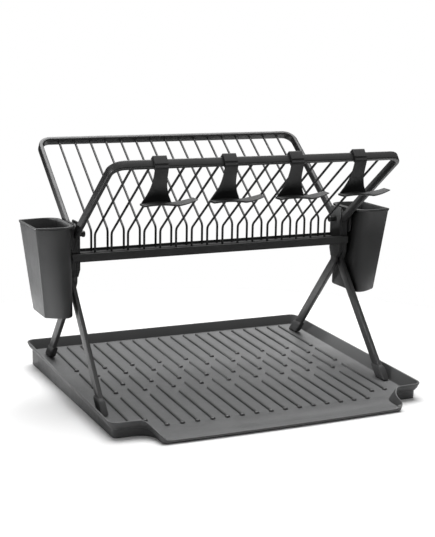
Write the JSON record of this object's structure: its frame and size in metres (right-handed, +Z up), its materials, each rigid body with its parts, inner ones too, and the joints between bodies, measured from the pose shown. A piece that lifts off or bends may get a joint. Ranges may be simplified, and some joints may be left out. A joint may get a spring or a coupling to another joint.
{
  "type": "dish drying rack",
  "caption": "Folding dish drying rack: two crossing wire wings on X legs over a spouted drip tray, with cutlery cups and clip-on glass hangers.",
  "frame": {"origin": "on the ground, at the centre of the overall bounding box, below the tray", "axes": "+X along the base rails, +Z up, -Y towards the tray's pouring spout"},
  "size_m": [0.5474, 0.4182, 0.3466],
  "materials": {
    "tray_plastic": "fine satin moulding, charcoal grey",
    "coated_steel": "satin charcoal powder coat",
    "coated_wire": "smooth charcoal plastic coat",
    "rail_plastic": "fine satin moulding",
    "hub_plastic": "fine satin moulding",
    "foot_plastic": "matt moulding",
    "cup_plastic": "fine satin moulding",
    "hanger_plastic": "fine satin moulding",
    "pin_metal": "dark satin"
  },
  "bodies": {
    "tray": {"drip_tray": "tray_plastic"},
    "rack_core": {"pivot_pin_left": "pin_metal", "pivot_pin_right": "pin_metal", "cup_bracket_left": "hub_plastic", "cup_bracket_right": "hub_plastic"},
    "front_wing_frame": {"front_wing_bar": "coated_steel", "front_wing_wire_1": "coated_wire", "front_wing_wire_2": "coated_wire", "front_wing_wire_3": "coated_wire", "front_wing_wire_4": "coated_wire", "front_wing_wire_5": "coated_wire", "front_wing_wire_6": "coated_wire", "front_wing_wire_7": "coated_wire", "front_wing_wire_8": "coated_wire", "front_wing_wire_9": "coated_wire", "front_wing_wire_10": "coated_wire", "front_wing_wire_11": "coated_wire", "front_wing_wire_12": "coated_wire", "front_wing_wire_13": "coated_wire", "front_wing_wire_14": "coated_wire", "front_wing_wire_15": "coated_wire", "front_wing_wire_16": "coated_wire", "front_wing_rail": "rail_plastic", "front_wing_hub_left": "hub_plastic", "front_wing_hub_right": "hub_plastic", "rear_leg_left": "coated_steel", "rear_leg_right": "coated_steel", "rear_foot_left": "foot_plastic", "rear_foot_right": "foot_plastic"},
    "rear_wing_frame": {"rear_wing_bar": "coated_steel", "rear_wing_wire_1": "coated_wire", "rear_wing_wire_2": "coated_wire", "rear_wing_wire_3": "coated_wire", "rear_wing_wire_4": "coated_wire", "rear_wing_wire_5": "coated_wire", "rear_wing_wire_6": "coated_wire", "rear_wing_wire_7": "coated_wire", "rear_wing_wire_8": "coated_wire", "rear_wing_wire_9": "coated_wire", "rear_wing_wire_10": "coated_wire", "rear_wing_wire_11": "coated_wire", "rear_wing_wire_12": "coated_wire", "rear_wing_wire_13": "coated_wire", "rear_wing_wire_14": "coated_wire", "rear_wing_wire_15": "coated_wire", "rear_wing_wire_16": "coated_wire", "rear_wing_rail": "rail_plastic", "rear_wing_hub_left": "hub_plastic", "rear_wing_hub_right": "hub_plastic", "front_leg_left": "coated_steel", "front_leg_right": "coated_steel", "front_foot_left": "foot_plastic", "front_foot_right": "foot_plastic"},
    "left_cup": {"cutlery_cup_left": "cup_plastic"},
    "right_cup": {"cutlery_cup_right": "cup_plastic"},
    "hanger_1": {"glass_hanger_1": "hanger_plastic"},
    "hanger_2": {"glass_hanger_2": "hanger_plastic"},
    "hanger_3": {"glass_hanger_3": "hanger_plastic"},
    "hanger_4": {"glass_hanger_4": "hanger_plastic"}
  },
  "joints": [
    {"name": "rack_lift", "type": "slide", "parent": "tray", "child": "rack_core", "axis": [0, 0, 1], "range_m": [0, 0.16]},
    {"name": "front_fold", "type": "hinge", "parent": "rack_core", "child": "front_wing_frame", "pos_m": [0, 0.0407, 0.2245], "axis": [-1, 0, 0], "range_deg": [0, 52.5]},
    {"name": "rear_fold", "type": "hinge", "parent": "rack_core", "child": "rear_wing_frame", "pos_m": [0, 0.0407, 0.2245], "axis": [1, 0, 0], "range_deg": [0, 52.5]},
    {"name": "left_cup_lift", "type": "slide", "parent": "rack_core", "child": "left_cup", "axis": [0, 0, 1], "range_m": [0, 0.12]},
    {"name": "right_cup_lift", "type": "slide", "parent": "rack_core", "child": "right_cup", "axis": [0, 0, 1], "range_m": [0, 0.12]},
    {"name": "hanger_1_pull", "type": "slide", "parent": "front_wing_frame", "child": "hanger_1", "axis": [0, -0.7976, 0.6032], "range_m": [0, 0.03]},
    {"name": "hanger_2_pull", "type": "slide", "parent": "front_wing_frame", "child": "hanger_2", "axis": [0, -0.7976, 0.6032], "range_m": [0, 0.03]},
    {"name": "hanger_3_pull", "type": "slide", "parent": "front_wing_frame", "child": "hanger_3", "axis": [0, -0.7976, 0.6032], "range_m": [0, 0.03]},
    {"name": "hanger_4_pull", "type": "slide", "parent": "front_wing_frame", "child": "hanger_4", "axis": [0, -0.7976, 0.6032], "range_m": [0, 0.03]}
  ],
  "couplings": [
    {"joint": "front_fold", "follows": "rack_lift", "rad_per_m": 5.72},
    {"joint": "rear_fold", "follows": "rack_lift", "rad_per_m": 5.72}
  ]
}
